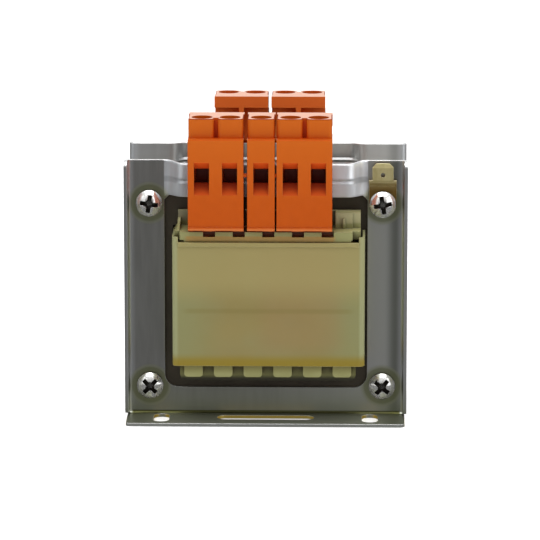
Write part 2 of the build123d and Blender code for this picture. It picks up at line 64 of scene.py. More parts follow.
Colour = tuple[float, float, float]
Stretch = tuple[float, float, float]
Socket = bpy.types.NodeSocket

MM = 0.001
BODY = "frame"

# Places on the CAD model: middle of the core, core screws, front of plates and of shelf.
CORE_Z = 37.75 * MM
BOLT_X = 35.0 * MM
BOLT_Z = 28.0 * MM
PLATE_OUT = 15.0 * MM
SHELF_OUT = PLATE_OUT + 13.0 * MM
FUNNEL_DEPTH = 3.2 * MM
LAMINATION = 0.5 * MM
WIRE = 0.8 * MM

EVEN: Stretch = (1.0, 1.0, 1.0)
WHITE: Colour = (1.0, 1.0, 1.0)
# Painted shade for metal deep inside the orange housings, reddened as by their walls.
DEEP_RED: Colour = (0.170, 0.021, 0.009)
PLAIN_SPECULAR = 0.3
METAL_SPECULAR = 0.1
COAT_ROUGHNESS = 0.32
# Strength of the painted highlight along the plastics' outer edges.
PLASTIC_EDGE_HIGHLIGHT = 0.42


class Slot(Enum):
    """Material slots of the record."""

    ZINC = "zinc_plate"
    CORE = "core_steel"
    NYLON = "natural_nylon"
    COVER = "cover_nylon"
    COPPER = "copper_wire"
    FILM = "insulating_film"
    ORANGE = "orange_plastic"
    TINNED = "tinned_brass"
    BRIGHT = "bright_zinc"
    BRASS = "brass_tab"
    CLAMP = "clamp_steel"


@dataclass(frozen=True)
class Tint:
    """A colour laid over another one, and how much of it shows where its mask is 1."""

    colour: Colour
    weight: float = 1.0


@dataclass(frozen=True)
class Recess:
    """Painted shade: how a surface darkens inside holes, grooves and corners."""

    colour: Colour
    reach: float
    open_level: float = 0.80
    closed_level: float = 0.28


@dataclass(frozen=True)
class MetalFinish:
    """Look of a bare or plated metal surface."""

    slot: Slot
    light: Colour
    dark: Colour
    roughness: float
    roughness_spread: float
    grain_scale: float
    grain_stretch: Stretch
    bump: float
    edge_radius: float
    metallic: float
    recess: Recess


@dataclass(frozen=True)
class PlasticFinish:
    """Look of a moulded plastic surface."""

    slot: Slot
    light: Colour
    dark: Colour
    # Colour of the painted highlight along outer edges.
    rim: Colour
    roughness: float
    mottle_scale: float
    bump: float
    edge_radius: float
    coat: float
    specular: float
    recess: Recess


METALS = (
    MetalFinish(
        slot=Slot.ZINC, light=(0.535, 0.535, 0.515), dark=(0.47, 0.47, 0.45),
        roughness=0.34, roughness_spread=0.08, grain_scale=420.0,
        grain_stretch=(1.0, 1.0, 0.12), bump=0.03, edge_radius=0.20 * MM, metallic=1.0,
        recess=Recess((0.10, 0.09, 0.06), reach=1.0 * MM, open_level=0.5)),
    MetalFinish(
        slot=Slot.BRIGHT, light=(0.82, 0.82, 0.81), dark=(0.70, 0.69, 0.66),
        roughness=0.14, roughness_spread=0.08, grain_scale=900.0,
        grain_stretch=EVEN, bump=0.04, edge_radius=0.20 * MM, metallic=0.85,
        recess=Recess((0.010, 0.008, 0.006), reach=3.0 * MM, open_level=0.94,
                      closed_level=0.66)),
    MetalFinish(
        slot=Slot.BRASS, light=(0.74, 0.65, 0.33), dark=(0.62, 0.53, 0.24),
        roughness=0.32, roughness_spread=0.10, grain_scale=500.0,
        grain_stretch=(1.0, 1.0, 0.3), bump=0.05, edge_radius=0.12 * MM, metallic=0.80,
        recess=Recess((0.13, 0.080, 0.016), reach=5.0 * MM, open_level=0.95)),
    MetalFinish(
        slot=Slot.TINNED, light=(0.50, 0.47, 0.40), dark=(0.38, 0.35, 0.29),
        roughness=0.34, roughness_spread=0.10, grain_scale=600.0,
        grain_stretch=EVEN, bump=0.05, edge_radius=0.10 * MM, metallic=1.0,
        recess=Recess(DEEP_RED, reach=10.0 * MM, open_level=1.0, closed_level=0.5)),
    MetalFinish(
        slot=Slot.CLAMP, light=(0.42, 0.42, 0.40), dark=(0.30, 0.30, 0.28),
        roughness=0.36, roughness_spread=0.12, grain_scale=700.0,
        grain_stretch=EVEN, bump=0.08, edge_radius=0.10 * MM, metallic=1.0,
        recess=Recess(DEEP_RED, reach=5.0 * MM, open_level=0.90, closed_level=0.5)),
)

PLASTICS = (
    PlasticFinish(
        slot=Slot.ORANGE, light=(0.370, 0.0600, 0.0028), dark=(0.356, 0.0575, 0.0026),
        rim=(0.60, 0.24, 0.068), roughness=0.17, mottle_scale=300.0, bump=0.02,
        edge_radius=0.20 * MM, coat=0.12, specular=0.06,
        # Painted shade and glow: the housings' holes and gaps turn a saturated red.
        recess=Recess((0.470, 0.040, 0.004), reach=6.5 * MM, open_level=0.76)),
    PlasticFinish(
        slot=Slot.NYLON, light=(0.215, 0.212, 0.086), dark=(0.190, 0.186, 0.070),
        rim=(0.40, 0.39, 0.19), roughness=0.32, mottle_scale=160.0, bump=0.04,
        edge_radius=0.25 * MM, coat=0.0, specular=PLAIN_SPECULAR,
        recess=Recess((0.060, 0.048, 0.011), reach=5.0 * MM)),
    PlasticFinish(
        slot=Slot.FILM, light=(0.60, 0.36, 0.16), dark=(0.48, 0.26, 0.10),
        rim=(0.62, 0.40, 0.20), roughness=0.30, mottle_scale=120.0, bump=0.03,
        edge_radius=0.10 * MM, coat=0.0, specular=PLAIN_SPECULAR,
        recess=Recess((0.20, 0.10, 0.03), reach=4.0 * MM)),
)


@dataclass(frozen=True)
class PlatingTints:
    """Where the brackets' plating departs from its plain tone, many of them by painted light and
    shade.
    """

    # Painted light: paler toward +X, where more light falls.
    right_side_light: Tint = Tint((0.94, 0.95, 0.91), 0.75)
    # Painted shade: a dark strip beside the right flange.
    shaded_strip: Tint = Tint((0.33, 0.345, 0.31), 0.85)
    # Painted highlight on the bends into the flanges.
    bend_highlight: Tint = Tint((0.88, 0.90, 0.92), 0.6)
    low: Tint = Tint((0.52, 0.55, 0.40), 0.55)
    # Painted light on the pressed bar and on the faces toward the core.
    painted_light_left: Colour = (0.69, 0.73, 0.78)
    painted_light_right: Colour = (0.84, 0.86, 0.90)
    painted_light_weight: float = 0.95
    # Painted shade in the bar's crease.
    crease: Tint = Tint((0.34, 0.36, 0.38), 0.52)
    ring: Tint = Tint((0.37, 0.39, 0.20), 0.78)
    pressed_ring: Tint = Tint((0.80, 0.82, 0.66), 0.22)
    tread: Tint = Tint((0.150, 0.155, 0.108), 0.95)
    tread_ends: Tint = Tint((0.095, 0.100, 0.068), 0.9)
    rim: Tint = Tint((0.27, 0.28, 0.26))
    # Painted shade: the dark reflection in the fold above the foot.
    fold: Tint = Tint((0.060, 0.060, 0.010), 0.95)
    slot_wall: Tint = Tint((1.0, 0.74, 0.13), 0.9)
    # Painted highlight along the sheets' outer edges.
    edge_highlight: Tint = Tint(WHITE)


@dataclass(frozen=True)
class TabTints:
    """Where the earth tab departs from its plain tone."""

    base: Tint = Tint((0.46, 0.37, 0.16), 0.6)
    brown: Tint = Tint((0.17, 0.085, 0.012), 0.9)
    # Painted highlight along the tab's edges.
    edge_highlight: Tint = Tint((1.0, 0.95, 0.62), 0.9)


@dataclass(frozen=True)
class HousingTints:
    """Where the orange housings depart from their plain tone: painted light and shade."""

    # Painted light: paler toward the top.
    high: Tint = Tint((0.428, 0.088, 0.0062))
    # Painted light on faces toward the core.
    inward: Tint = Tint((0.52, 0.098, 0.018))
    # Painted shade in the funnels: dark in the throat, lighter at the mouth.
    throat: Colour = (0.160, 0.014, 0.003)
    mouth: Colour = (0.400, 0.052, 0.005)
    slope_weight: float = 0.9
    slope_roughness: float = 0.6
    # Painted light: a bright red on faces that look down.
    ceiling: Tint = Tint((0.50, 0.058, 0.009), 0.8)
    # Painted highlight on the tops.
    top: Tint = Tint((0.60, 0.210, 0.066), 0.8)
    top_gloss: float = 0.68
    # Painted highlight along the lower lip.
    lip: Tint = Tint((0.52, 0.170, 0.050), 0.6)


@dataclass(frozen=True)
class FormerTints:
    """Where the nylon coil former departs from its plain tone, several by painted shade and
    light.
    """

    # Painted shade between the teeth.
    between_teeth: Tint = Tint((0.150, 0.138, 0.045))
    # Painted shade on the skirt behind the teeth.
    skirt: Tint = Tint((0.100, 0.098, 0.030), 0.85)
    # Painted shade at the skirt's foot.
    foot: Tint = Tint((0.022, 0.020, 0.011))
    posts: Tint = Tint((0.320, 0.300, 0.165), 0.8)
    # Painted shade on the rail behind the posts.
    rail: Tint = Tint((0.120, 0.112, 0.075), 0.7)
    # Painted light on the shelf's top.
    shelf_top: Tint = Tint((0.345, 0.325, 0.150), 0.5)
    shelf_front: Tint = Tint((0.275, 0.155, 0.036), 0.8)
    # Painted shade in the recesses under the housings.
    under_housings: Tint = Tint((0.110, 0.022, 0.004))


@dataclass(frozen=True)
class CoverTints:
    """Tones of the translucent coil cover, some of them painted light and shade."""

    middle_dark: Colour = (0.186, 0.147, 0.050)
    middle_light: Colour = (0.200, 0.160, 0.057)
    sides: Tint = Tint((0.180, 0.175, 0.069))
    cloud: Tint = Tint((0.176, 0.172, 0.082), 0.30)
    warm: Tint = Tint((0.210, 0.142, 0.056), 0.5)
    # Painted light: paler toward the top.
    top: Tint = Tint((0.250, 0.206, 0.078), 0.75)
    # Painted light through the thin side edges.
    corner: Tint = Tint((0.240, 0.250, 0.130), 0.7)
    amber: Tint = Tint((0.186, 0.133, 0.009), 0.9)
    # Painted shade in the crease.
    crease: Tint = Tint((0.145, 0.118, 0.030), 0.4)
    # Painted highlight along the cover's edges.
    edge_highlight: Tint = Tint((0.42, 0.40, 0.22), 0.5)


@dataclass(frozen=True)
class CoreTints:
    """Tones of the lamination stack."""

    edge_dark: Colour = (0.150, 0.142, 0.125)
    edge_light: Colour = (0.265, 0.250, 0.220)
    patch: Tint = Tint((0.28, 0.245, 0.185), 0.25)
    groove: Tint = Tint((0.035, 0.030, 0.022), 0.8)
    # Faces of the stack: dark varnish, darkened further by painted shade.
    face_dark: Colour = (0.046, 0.038, 0.026)
    face_light: Colour = (0.066, 0.055, 0.038)


@dataclass(frozen=True)
class View:
    """Camera placed from the photograph: angles in degrees, lengths in metres."""

    azimuth: float = 1.2
    elevation: float = 11.57
    distance: float = 1.200
    target: tuple[float, float, float] = (0.0009, 0.0, 0.04225)
    focal_px: float = 3940.0
    frame_px: float = 540.0
    sensor_mm: float = 36.0

    @property
    def lens_mm(self) -> float:
        """Focal length for the sensor width."""
        return self.focal_px / self.frame_px * self.sensor_mm


@dataclass(frozen=True)
class SoftBox:
    """A square area light that points at the part."""

    name: str
    place: tuple[float, float, float]
    size: float
    power: float


LIGHT_AIM = (0.0, 0.0, 0.04)
SOFT_BOXES = (
    SoftBox("top_box", (0.0, -0.10, 0.95), size=0.9, power=9.0),
    SoftBox("left_box", (-1.1, -0.75, 0.55), size=1.2, power=2.9),
    SoftBox("right_box", (1.1, -0.75, 0.55), size=1.2, power=5.4),
)


class Nodes:
    """Short helper to build a node tree.

    Args:
        tree: The node tree of a material, a world or a group.
    """

    def __init__(self, tree: bpy.types.NodeTree) -> None:
        self.tree = tree
        self.tree.nodes.clear()

    def add(self, kind: str, **settings: object) -> bpy.types.Node:
        """Add a node and set its properties or unlinked inputs.

        Args:
            kind: Blender's node type, without the ShaderNode prefix if it has one.
            settings: Property names, or input names written with underscores.

        Returns:
            The new node.
        """
        full = kind if kind.startswith("Node") else f"ShaderNode{kind}"
        node = self.tree.nodes.new(full)
        for name, value in settings.items():
            if hasattr(node, name):
                setattr(node, name, value)
            else:
                node.inputs[name.replace("_", " ")].default_value = value
        return node

    def link(self, source: Socket, target: Socket) -> None:
        """Connect two sockets."""
        self.tree.links.new(source, target)

    def put(self, value: Socket | Colour | float, socket: Socket) -> None:
        """Give an input a value: a link from a socket, a number or an RGB triple."""
        if isinstance(value, bpy.types.NodeSocket):
            self.link(value, socket)
        elif isinstance(value, tuple) and socket.type == "RGBA":
            socket.default_value = (*value, 1.0)
        else:
            socket.default_value = value

    def math(self, operation: str, *values: Socket | float) -> Socket:
        """Add a Math node.

        Args:
            operation: Name of the operation, such as MAXIMUM.
            values: Sockets or numbers for its inputs, in order.

        Returns:
            The result socket.
        """
        node = self.add("Math", operation=operation)
        for socket, value in zip(node.inputs, values):
            self.put(value, socket)
        return node.outputs[0]

    def product(self, first: Socket, *others: Socket | float) -> Socket:
        """Product of masks and numbers."""
        result = first
        for other in others:
            result = self.math("MULTIPLY", result, other)
        return result

    def inverse(self, value: Socket) -> Socket:
        """One minus a value."""
        return self.math("SUBTRACT", 1.0, value)

    def ramp(self, value: Socket, low: Socket | float, high: Socket | float) -> Socket:
        """Smooth step of a value from 0 at low to 1 at high."""
        node = self.add("MapRange", interpolation_type="SMOOTHSTEP")
        self.link(value, node.inputs["Value"])
        self.put(low, node.inputs["From Min"])
        self.put(high, node.inputs["From Max"])
        return node.outputs["Result"]

    def fall(self, value: Socket, low: float, high: float) -> Socket:
        """Smooth step of a value from 1 at low to 0 at high."""
        return self.inverse(self.ramp(value, low, high))

    def band(self, value: Socket, low: float, high: float, blur: float) -> Socket:
        """Mask that is 1 between two values and fades out over blur on either side."""
        rise = self.ramp(value, low - blur, low)
        drop = self.ramp(value, high, high + blur)
        return self.math("SUBTRACT", rise, drop)

    def mix(self, factor: Socket, first: Socket | Colour, second: Socket | Colour) -> Socket:
        """Mix two colours, each a socket or an RGB triple."""
        node = self.add("Mix", data_type="RGBA")
        for index, value in ((0, factor), (6, first), (7, second)):
            self.put(value, node.inputs[index])
        return node.outputs[2]

    def tint(self, mask: Socket, under: Socket, tint: Tint) -> Socket:
        """Lay a tint over a colour where a mask says so."""
        return self.mix(self.product(mask, tint.weight), under, tint.colour)

    def facing(self) -> bpy.types.Node:
        """Direction that the surface faces, split into X, Y and Z."""
        geometry = self.add("NewGeometry")
        split = self.add("SeparateXYZ")
        self.link(geometry.outputs["Normal"], split.inputs[0])
        return split

    def position(self) -> bpy.types.Node:
        """Object coordinates in metres, split into X, Y and Z."""
        coordinates = self.add("TexCoord")
        split = self.add("SeparateXYZ")
        self.link(coordinates.outputs["Object"], split.inputs[0])
        return split


def new_group(name: str, inputs: Sequence[tuple[str, str, object]],
              outputs: Sequence[tuple[str, str]]) -> tuple[bpy.types.NodeTree, Nodes]:
    """Make an empty shader node group.

    Args:
        name: The group's name.
        inputs: Name, socket type and default of each input.
        outputs: Name and socket type of each output.

    Returns:
        The group and its node helper.
    """
    group = bpy.data.node_groups.new(name, "ShaderNodeTree")
    nodes = Nodes(group)
    for label, kind, default in inputs:
        socket = group.interface.new_socket(label, in_out="INPUT", socket_type=kind)
        socket.default_value = default
    for label, kind in outputs:
        group.interface.new_socket(label, in_out="OUTPUT", socket_type=kind)
    return group, nodes


def mottle_group() -> bpy.types.NodeTree:
    """Group that gives a soft mottled mask and a fine grain value."""
    group, nodes = new_group(
        "mottle",
        (("Scale", "NodeSocketFloat", 200.0), ("Stretch", "NodeSocketVector", EVEN)),
        (("Mask", "NodeSocketFloat"), ("Grain", "NodeSocketFloat")))
    source = nodes.add("NodeGroupInput")
    result = nodes.add("NodeGroupOutput")
    coordinates = nodes.add("TexCoord")
    stretch = nodes.add("VectorMath", operation="MULTIPLY")
    nodes.link(coordinates.outputs["Object"], stretch.inputs[0])
    nodes.link(source.outputs["Stretch"], stretch.inputs[1])
    broad = nodes.add("TexNoise", Detail=3.0, Roughness=0.55)
    nodes.link(stretch.outputs[0], broad.inputs["Vector"])
    nodes.link(source.outputs["Scale"], broad.inputs["Scale"])
    fine = nodes.add("TexNoise", Detail=2.0, Roughness=0.6)
    nodes.link(stretch.outputs[0], fine.inputs["Vector"])
    nodes.link(nodes.product(source.outputs["Scale"], 9.0), fine.inputs["Scale"])
    nodes.link(nodes.ramp(broad.outputs["Fac"], 0.32, 0.68), result.inputs["Mask"])
    nodes.link(fine.outputs["Fac"], result.inputs["Grain"])
    return group


def soft_edge_group() -> bpy.types.NodeTree:
    """Group that rounds hard edges in the shading and adds a fine bump."""
    group, nodes = new_group(
        "soft_edge",
        (("Height", "NodeSocketFloat", 0.5), ("Strength", "NodeSocketFloat", 0.05),
         ("Radius", "NodeSocketFloat", 0.2 * MM)),
        (("Normal", "NodeSocketVector"),))
    source = nodes.add("NodeGroupInput")
    result = nodes.add("NodeGroupOutput")
    bevel = nodes.add("Bevel", samples=4)
    nodes.link(source.outputs["Radius"], bevel.inputs["Radius"])
    bump = nodes.add("Bump", Distance=0.1 * MM)
    nodes.link(source.outputs["Height"], bump.inputs["Height"])
    nodes.link(source.outputs["Strength"], bump.inputs["Strength"])
    nodes.link(bevel.outputs["Normal"], bump.inputs["Normal"])
    nodes.link(bump.outputs["Normal"], result.inputs["Normal"])
    return group


def recess_group() -> bpy.types.NodeTree:
    """Group that gives 1 deep inside holes and grooves and 0 on open faces: the mask of painted
    shade.
    """
    group, nodes = new_group(
        "recess",
        (("Reach", "NodeSocketFloat", 5.0 * MM), ("Closed", "NodeSocketFloat", 0.28),
         ("Open", "NodeSocketFloat", 0.8)),
        (("Mask", "NodeSocketFloat"),))
    source = nodes.add("NodeGroupInput")
    result = nodes.add("NodeGroupOutput")
    shade = nodes.add("AmbientOcclusion", samples=8)
    nodes.link(source.outputs["Reach"], shade.inputs["Distance"])
    open_part = nodes.ramp(shade.outputs["AO"], source.outputs["Closed"], source.outputs["Open"])
    nodes.link(nodes.inverse(open_part), result.inputs["Mask"])
    return group


def painted_edge_highlight_group() -> bpy.types.NodeTree:
    """Group that gives 1 along outer edges, where a highlight is painted."""
    group, nodes = new_group("painted_edge_highlight", (("Radius", "NodeSocketFloat", 0.2 * MM),),
                             (("Mask", "NodeSocketFloat"),))
    source = nodes.add("NodeGroupInput")
    result = nodes.add("NodeGroupOutput")
    bevel = nodes.add("Bevel", samples=4)
    nodes.link(source.outputs["Radius"], bevel.inputs["Radius"])
    geometry = nodes.add("NewGeometry")
    dot = nodes.add("VectorMath", operation="DOT_PRODUCT")
    nodes.link(bevel.outputs["Normal"], dot.inputs[0])
    nodes.link(geometry.outputs["Normal"], dot.inputs[1])
    turned = nodes.ramp(nodes.inverse(dot.outputs["Value"]), 0.01, 0.18)
    shade = nodes.add("AmbientOcclusion", samples=4)
    nodes.link(source.outputs["Radius"], shade.inputs["Distance"])
    outer = nodes.ramp(shade.outputs["AO"], 0.6, 0.9)
    nodes.link(nodes.product(turned, outer), result.inputs["Mask"])
    return group


class Finisher:
    """Builds the materials and puts them on the nodes.

    Args:
        record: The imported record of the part.
    """

    def __init__(self, record: dict) -> None:
        self.mottle = mottle_group()
        self.soft_edge = soft_edge_group()
        self.recess = recess_group()
        self.painted_edge_highlight = painted_edge_highlight_group()
        self.slots = {part["node"]: part["material_slot"] for part in record["subparts"]}
        self.materials: dict[str, bpy.types.Material] = {}

    def start(self, slot: Slot) -> tuple[Nodes, bpy.types.Node]:
        """Make a material for a slot, with a Principled shader.

        Args:
            slot: The record's slot.

        Returns:
            The node helper and the shader node.
        """
        material = bpy.data.materials.new(slot.value)
        material.use_nodes = True
        nodes = Nodes(material.node_tree)
        shader = nodes.add("BsdfPrincipled")
        output = nodes.add("OutputMaterial")
        nodes.link(shader.outputs["BSDF"], output.inputs["Surface"])
        self.materials[slot.value] = material
        return nodes, shader

    def grain(self, nodes: Nodes, scale: float, stretch: Stretch) -> bpy.types.Node:
        """Add the mottle group to a material."""
        node = nodes.add("Group", node_tree=self.mottle)
        node.inputs["Scale"].default_value = scale
        node.inputs["Stretch"].default_value = stretch
        return node

    def deep(self, nodes: Nodes, recess: Recess) -> Socket:
        """Add the recess group, the mask of painted shade, to a material."""
        node = nodes.add("Group", node_tree=self.recess)
        node.inputs["Reach"].default_value = recess.reach
        node.inputs["Closed"].default_value = recess.closed_level
        node.inputs["Open"].default_value = recess.open_level
        return node.outputs["Mask"]

    def edge_highlight(self, nodes: Nodes, radius: float) -> Socket:
        """Add the edge-highlight group, the mask of painted highlights on outer edges, to a
        material.
        """
        node = nodes.add("Group", node_tree=self.painted_edge_highlight)
        node.inputs["Radius"].default_value = radius
        return node.outputs["Mask"]

    def edges(self, nodes: Nodes, shader: bpy.types.Node, height: Socket, strength: float,
              radius: Socket | float) -> None:
        """Link the soft-edge group to the shader's normal."""
        node = nodes.add("Group", node_tree=self.soft_edge)
        nodes.link(height, node.inputs["Height"])
        node.inputs["Strength"].default_value = strength
        nodes.put(radius, node.inputs["Radius"])
        nodes.link(node.outputs["Normal"], shader.inputs["Normal"])

    def toward(self, nodes: Nodes) -> Socket:
        """How far a surface faces away from the core along Y: 1 outward, -1 inward."""
        place = nodes.position().outputs["Y"]
        return nodes.product(nodes.facing().outputs["Y"], nodes.math("SIGN", place))

    def metal(self, finish: MetalFinish) -> None:
        """Make a metal finish."""
        nodes, shader = self.start(finish.slot)
        grain = self.grain(nodes, finish.grain_scale, finish.grain_stretch)
        colour = nodes.mix(grain.outputs["Mask"], finish.dark, finish.light)
        radius: Socket | float = finish.edge_radius
        metallic: Socket | float = finish.metallic
        if finish.slot is Slot.ZINC:
            colour, radius, metallic = Plating(self, nodes, colour).build(finish.edge_radius)
        if finish.slot is Slot.BRASS:
            colour = self.tab_tones(nodes, colour)
        deep = self.deep(nodes, finish.recess)
        # Painted shade inside holes, grooves and corners.
        colour = nodes.mix(deep, colour, finish.recess.colour)
        nodes.link(colour, shader.inputs["Base Color"])
        bare = nodes.inverse(deep)
        nodes.link(nodes.product(bare, metallic), shader.inputs["Metallic"])
        shader.inputs["Specular IOR Level"].default_value = METAL_SPECULAR
        spread = nodes.product(grain.outputs["Grain"], finish.roughness_spread)
        rough = nodes.math("ADD", spread, finish.roughness - finish.roughness_spread / 2)
        nodes.link(rough, shader.inputs["Roughness"])
        self.edges(nodes, shader, grain.outputs["Grain"], finish.bump, radius)

    def tab_tones(self, nodes: Nodes, colour: Socket) -> Socket:
        """Darken the earth tab toward its clamped base, and paint a highlight along its edges."""
        tints = TabTints()
        _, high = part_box("earth_tab")
        up = nodes.position().outputs["Z"]
        base = nodes.fall(up, high[2] - 5.4 * MM, high[2] - 4.8 * MM)
        colour = nodes.tint(base, colour, tints.base)
        brown = nodes.fall(up, high[2] - 9.0 * MM, high[2] - 5.0 * MM)
        colour = nodes.tint(brown, colour, tints.brown)
        # Painted highlight along the tab's edges.
        return nodes.tint(self.edge_highlight(nodes, 0.25 * MM), colour, tints.edge_highlight)

    def plastic(self, finish: PlasticFinish) -> None:
        """Make a moulded plastic finish: paler rims from a painted highlight, a deeper tone of
        painted shade inside holes and grooves.
        """
        nodes, shader = self.start(finish.slot)
        grain = self.grain(nodes, finish.mottle_scale, EVEN)
        colour = nodes.mix(grain.outputs["Mask"], finish.dark, finish.light)
        if finish.slot is Slot.ORANGE:
            colour = self.paint_housing_light(nodes, colour)
        # Painted highlight along outer edges.
        rim = nodes.product(self.edge_highlight(nodes, finish.edge_radius), PLASTIC_EDGE_HIGHLIGHT)
        colour = nodes.mix(rim, colour, finish.rim)
        deep = self.deep(nodes, finish.recess)
        if finish.slot is Slot.NYLON:
            colour = self.former(nodes, colour, deep, finish.recess.colour)
        else:
            # Painted shade inside holes and grooves.
            colour = nodes.mix(deep, colour, finish.recess.colour)
        if finish.slot is Slot.ORANGE:
            colour = self.housings(nodes, shader, colour, deep, finish)
        nodes.link(colour, shader.inputs["Base Color"])
        shader.inputs["Coat Roughness"].default_value = COAT_ROUGHNESS
        shader.inputs["Specular IOR Level"].default_value = finish.specular
        shader.inputs["Roughness"].default_value = finish.roughness
        self.edges(nodes, shader, grain.outputs["Grain"], finish.bump, finish.edge_radius)

    def paint_housing_light(self, nodes: Nodes, colour: Socket) -> Socket:
        """Painted light: the housings grow paler from the shelf to the top, and toward the core.
        """
        tints = HousingTints()
        low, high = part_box("front_middle_terminal")
        up = nodes.position().outputs["Z"]
        # Painted light: paler toward the top.
        colour = nodes.tint(nodes.ramp(up, low[2] + 4 * MM, high[2]), colour, tints.high)
        inward = nodes.product(self.toward(nodes), -1.0)
        # Painted light on faces toward the core.
        return nodes.tint(nodes.ramp(inward, 0.4, 0.8), colour, tints.inward)

    def housings(self, nodes: Nodes, shader: bpy.types.Node, colour: Socket, deep: Socket,
                 finish: PlasticFinish) -> Socket:
        """Give the wire funnels a deep matt tone and the tops a pale glossy one.

        Args:
            nodes: Helper of the housings' material.
            shader: Its shader, which gets the roughness and the coat.
            colour: The housings' colour.
            deep: Mask of holes and grooves.
            finish: The housings' finish.

        Returns:
            The colour with painted shade in the funnels and painted highlights on the tops and
            the lower lip.
        """
        tints = HousingTints()
        low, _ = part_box("front_middle_terminal")
        front = -low[1]
        rise = nodes.facing().outputs["Z"]
        place = nodes.position()
        up = place.outputs["Z"]
        slope = nodes.band(rise, 0.40, 0.85, 0.08)
        ceiling = nodes.ramp(rise, -0.35, -0.60)
        crown = nodes.ramp(up, CORE_Z + 51.0 * MM, CORE_Z + 53.0 * MM)
        top = nodes.product(nodes.ramp(rise, 0.93, 0.98), crown)
        out = nodes.math("ABSOLUTE", place.outputs["Y"])
        # Painted shade in the wire funnels, darkest in the throat.
        red = nodes.mix(nodes.ramp(out, front - FUNNEL_DEPTH, front), tints.throat, tints.mouth)
        colour = nodes.mix(nodes.product(slope, tints.slope_weight), colour, red)
        # Painted light: a bright red on faces that look down.
        colour = nodes.tint(ceiling, colour, tints.ceiling)
        # Painted highlight on the tops.
        colour = nodes.tint(top, colour, tints.top)
        lip = nodes.fall(up, low[2] + 1.1 * MM, low[2] + 1.6 * MM)
        # Painted highlight along the lower lip.
        colour = nodes.tint(lip, colour, tints.lip)

        rough = nodes.product(slope, tints.slope_roughness - finish.roughness)
        nodes.link(nodes.math("ADD", rough, finish.roughness), shader.inputs["Roughness"])
        gloss = nodes.math("ADD", nodes.product(top, tints.top_gloss), finish.coat)
        gloss = nodes.product(gloss, nodes.inverse(slope), nodes.ramp(deep, 0.5, 0.05))
        nodes.link(gloss, shader.inputs["Coat Weight"])
        return colour

    def former(self, nodes: Nodes, colour: Socket, deep: Socket, shade: Colour) -> Socket:
        """Tint the former's thin walls, its shelf and the recesses under the housings: painted
        shade on the walls, the rail and in the recesses, painted light on the shelf's top.

        Args:
            nodes: Helper of the former's material.
            colour: The nylon's colour where it is thick.
            deep: Mask of holes and grooves.
            shade: Colour inside them.

        Returns:
            The former's colour.
        """
        tints = FormerTints()
        place = nodes.position()
        up = place.outputs["Z"]
        out = nodes.math("ABSOLUTE", place.outputs["Y"])
        low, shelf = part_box("front_cover")
        below = nodes.fall(up, low[2] - 0.3 * MM, low[2] + 0.1 * MM)
        tooth = nodes.fall(up, low[2] - 2.8 * MM, low[2] - 0.6 * MM)
        # Painted shade between the teeth, on the skirt behind them and at its foot.
        colour = nodes.tint(nodes.product(below, nodes.inverse(tooth)), colour,
                            tints.between_teeth)
        behind = nodes.fall(out, SHELF_OUT - 2.2 * MM, SHELF_OUT - 1.8 * MM)
        skirt = nodes.product(below, behind)
        colour = nodes.tint(skirt, colour, tints.skirt)
        foot = nodes.fall(up, low[2] - 4.6 * MM, low[2] - 3.0 * MM)
        colour = nodes.tint(nodes.product(skirt, foot), colour, tints.foot)
        posts = nodes.ramp(up, shelf[2] + 2.4 * MM, shelf[2] + 3.4 * MM)
        colour = nodes.tint(posts, colour, tints.posts)
        rail = nodes.fall(out, PLATE_OUT + 1.9 * MM, PLATE_OUT + 2.4 * MM)
        # Painted shade on the rail behind the posts.
        colour = nodes.tint(nodes.product(posts, rail), colour, tints.rail)
        shelf_top = nodes.product(nodes.ramp(nodes.facing().outputs["Z"], 0.90, 0.98),
                                  nodes.ramp(up, CORE_Z + 21.2 * MM, CORE_Z + 21.5 * MM))
        # Painted light on the shelf's top.
        colour = nodes.tint(shelf_top, colour, tints.shelf_top)

        left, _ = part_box("front_left_terminal")
        _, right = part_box("front_right_terminal")
        side = place.outputs["X"]
        front = nodes.product(nodes.band(up, CORE_Z + 19.0 * MM, CORE_Z + 20.2 * MM, 0.4 * MM),
                              nodes.band(side, left[0], right[0], 1.5 * MM),
                              nodes.ramp(out, SHELF_OUT - 0.1 * MM, SHELF_OUT + 0.1 * MM))
        colour = nodes.tint(front, colour, tints.shelf_front)
        # Painted shade inside holes and grooves, less above the shelf, deepest under the
        # housings.
        above = nodes.ramp(up, CORE_Z + 21.6 * MM, CORE_Z + 21.9 * MM)
        deep = nodes.product(deep, nodes.inverse(nodes.product(above, 0.6)))
        colour = nodes.mix(deep, colour, shade)
        under = nodes.product(nodes.band(side, left[0], right[0], 0.3 * MM),
                              nodes.ramp(up, CORE_Z + 19.8 * MM, CORE_Z + 20.4 * MM))
        return nodes.tint(nodes.product(deep, under), colour, tints.under_housings)

    def laminations(self) -> None:
        """Make the stacked core sheets: varnished faces darkened by painted shade, and edges with
        a groove between them.
        """
        tints = CoreTints()
        nodes, shader = self.start(Slot.CORE)
        turn = nodes.product(nodes.position().outputs["Y"], 1.0 / LAMINATION)
        wave = nodes.math("PINGPONG", turn, 0.5)
        groove = nodes.fall(wave, 0.02, 0.22)
        tone = nodes.add("TexWhiteNoise", noise_dimensions="1D")
        nodes.link(nodes.math("ROUND", turn), tone.inputs["W"])
        grain = self.grain(nodes, 60.0, (1.0, 0.2, 1.0)).outputs["Mask"]
        edge = nodes.mix(tone.outputs["Value"], tints.edge_dark, tints.edge_light)
        edge = nodes.tint(grain, edge, tints.patch)
        edge = nodes.tint(groove, edge, tints.groove)
